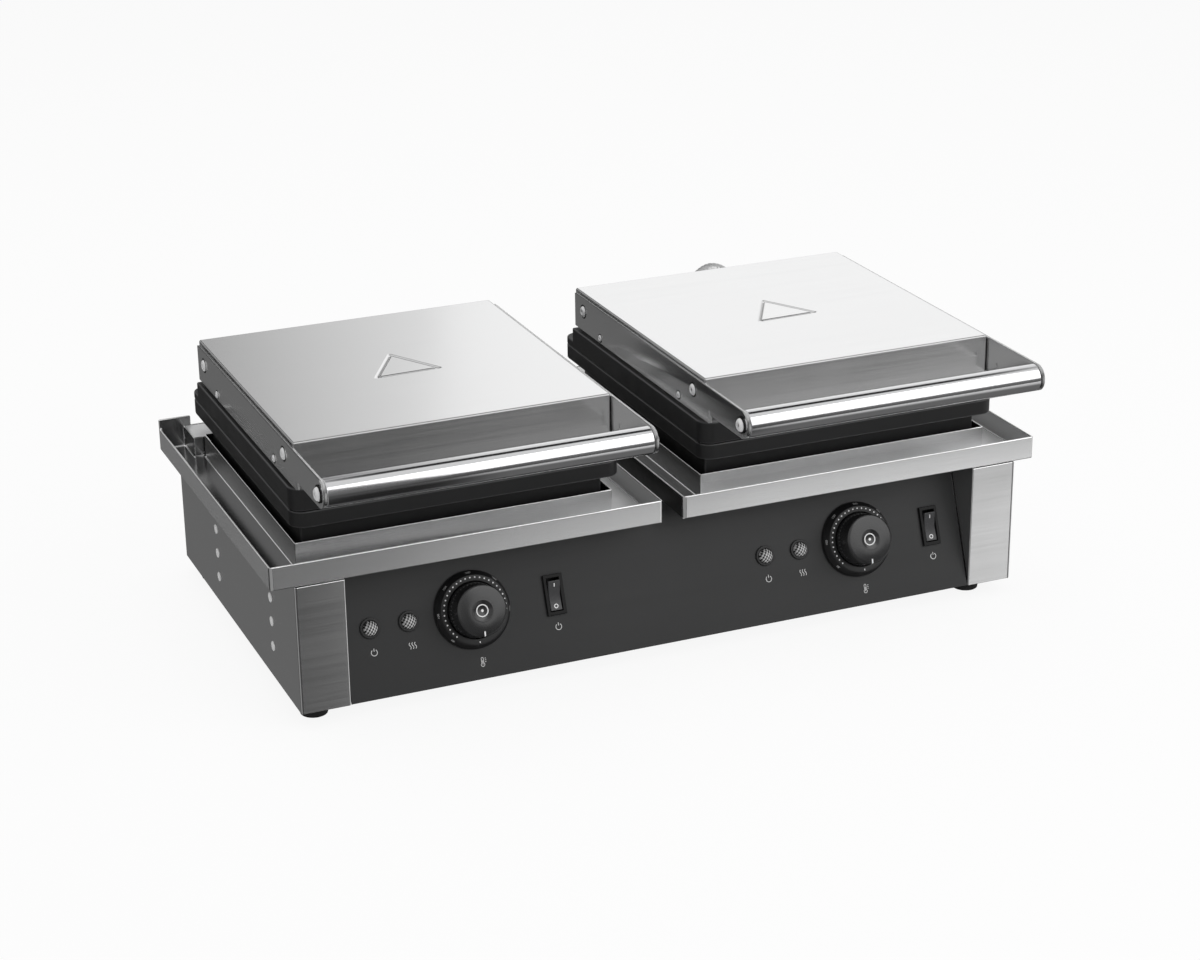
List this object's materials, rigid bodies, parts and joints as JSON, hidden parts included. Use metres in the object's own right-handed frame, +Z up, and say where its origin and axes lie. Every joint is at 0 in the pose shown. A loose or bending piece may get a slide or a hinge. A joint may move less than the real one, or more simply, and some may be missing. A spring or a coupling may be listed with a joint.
{
  "type": "double waffle maker",
  "caption": "Countertop waffle maker: side-by-side hinged lids with bar handles over cast waffle plates, drip trays and a sloped panel with dials, lamps and rocker switches.",
  "frame": {"origin": "under the middle of the whole object, on the surface it stands on", "axes": "+Z up, -Y out of the front with the controls, +X to the right as seen from the front"},
  "size_m": [0.57, 0.3548, 0.1915],
  "materials": {
    "cabinet_steel": "brushed stainless sheet",
    "inner_steel": "plain mill sheet",
    "tray_steel": "brushed stainless sheet",
    "lid_steel": "brushed stainless sheet",
    "panel_face": "dark satin printed face",
    "cast_plate": "black fine-cast surface",
    "element_sheath": "heat-darkened sheath",
    "handle_tube": "polished bar",
    "fastener_steel": "bright plated",
    "conduit_metal": "ribbed flexible metal",
    "black_plastic": "black moulded",
    "dial_plastic": "black satin moulded, white marks",
    "switch_plastic": "black gloss moulded, white marks",
    "lamp_lens": "clear faceted lens",
    "foot_rubber": "black rubber"
  },
  "bodies": {
    "cabinet": {"left_side_panel": "cabinet_steel", "right_side_panel": "cabinet_steel", "floor_plate": "inner_steel", "deck_plate": "inner_steel", "back_panel": "cabinet_steel", "cable_gland": "black_plastic", "front_left_foot": "foot_rubber", "front_right_foot": "foot_rubber", "rear_left_foot": "foot_rubber", "rear_right_foot": "foot_rubber", "control_panel": "panel_face", "left_drip_tray": "tray_steel", "left_lower_plate": "cast_plate", "left_lower_element": "element_sheath", "left_hinge_left_pin": "fastener_steel", "left_hinge_right_pin": "fastener_steel", "left_power_lamp_body": "black_plastic", "left_power_lamp_lens": "lamp_lens", "left_heating_lamp_body": "black_plastic", "left_heating_lamp_lens": "lamp_lens", "left_dial_ring": "dial_plastic", "left_thermostat": "inner_steel", "left_switch_housing": "switch_plastic", "left_conduit": "conduit_metal", "right_drip_tray": "tray_steel", "right_lower_plate": "cast_plate", "right_lower_element": "element_sheath", "right_hinge_left_pin": "fastener_steel", "right_hinge_right_pin": "fastener_steel", "right_power_lamp_body": "black_plastic", "right_power_lamp_lens": "lamp_lens", "right_heating_lamp_body": "black_plastic", "right_heating_lamp_lens": "lamp_lens", "right_dial_ring": "dial_plastic", "right_thermostat": "inner_steel", "right_switch_housing": "switch_plastic", "right_conduit": "conduit_metal"},
    "left_lid": {"left_lid_cover": "lid_steel", "left_upper_plate": "cast_plate", "left_upper_element": "element_sheath", "left_handle": "handle_tube", "left_lid_left_arm": "lid_steel", "left_lid_right_arm": "lid_steel", "left_handle_left_screw": "fastener_steel", "left_handle_right_screw": "fastener_steel"},
    "left_dial": {"left_knob": "dial_plastic", "left_thermostat_shaft": "fastener_steel"},
    "left_rocker": {"left_switch_rocker": "switch_plastic"},
    "right_lid": {"right_lid_cover": "lid_steel", "right_upper_plate": "cast_plate", "right_upper_element": "element_sheath", "right_handle": "handle_tube", "right_lid_left_arm": "lid_steel", "right_lid_right_arm": "lid_steel", "right_handle_left_screw": "fastener_steel", "right_handle_right_screw": "fastener_steel"},
    "right_dial": {"right_knob": "dial_plastic", "right_thermostat_shaft": "fastener_steel"},
    "right_rocker": {"right_switch_rocker": "switch_plastic"}
  },
  "joints": [
    {"name": "left_lid_hinge", "type": "hinge", "parent": "cabinet", "child": "left_lid", "pos_m": [-0.14622, 0.1486, 0.14545], "axis": [-1, 0, 0], "range_deg": [0, 95], "deforming": ["left_conduit"]},
    {"name": "left_knob_turn", "type": "hinge", "parent": "cabinet", "child": "left_dial", "pos_m": [-0.14203, -0.11294, 0.05592], "axis": [0, 0.9361, -0.3518], "range_deg": [0, 265]},
    {"name": "left_switch_rock", "type": "hinge", "parent": "cabinet", "child": "left_rocker", "pos_m": [-0.08222, -0.11154, 0.05539], "axis": [-1, 0, 0], "range_deg": [0, 16]},
    {"name": "right_lid_hinge", "type": "hinge", "parent": "cabinet", "child": "right_lid", "pos_m": [0.14622, 0.1486, 0.14545], "axis": [-1, 0, 0], "range_deg": [0, 95], "deforming": ["right_conduit"]},
    {"name": "right_knob_turn", "type": "hinge", "parent": "cabinet", "child": "right_dial", "pos_m": [0.15042, -0.11294, 0.05592], "axis": [0, 0.9361, -0.3518], "range_deg": [0, 265]},
    {"name": "right_switch_rock", "type": "hinge", "parent": "cabinet", "child": "right_rocker", "pos_m": [0.21023, -0.11154, 0.05539], "axis": [-1, 0, 0], "range_deg": [0, 16]}
  ]
}
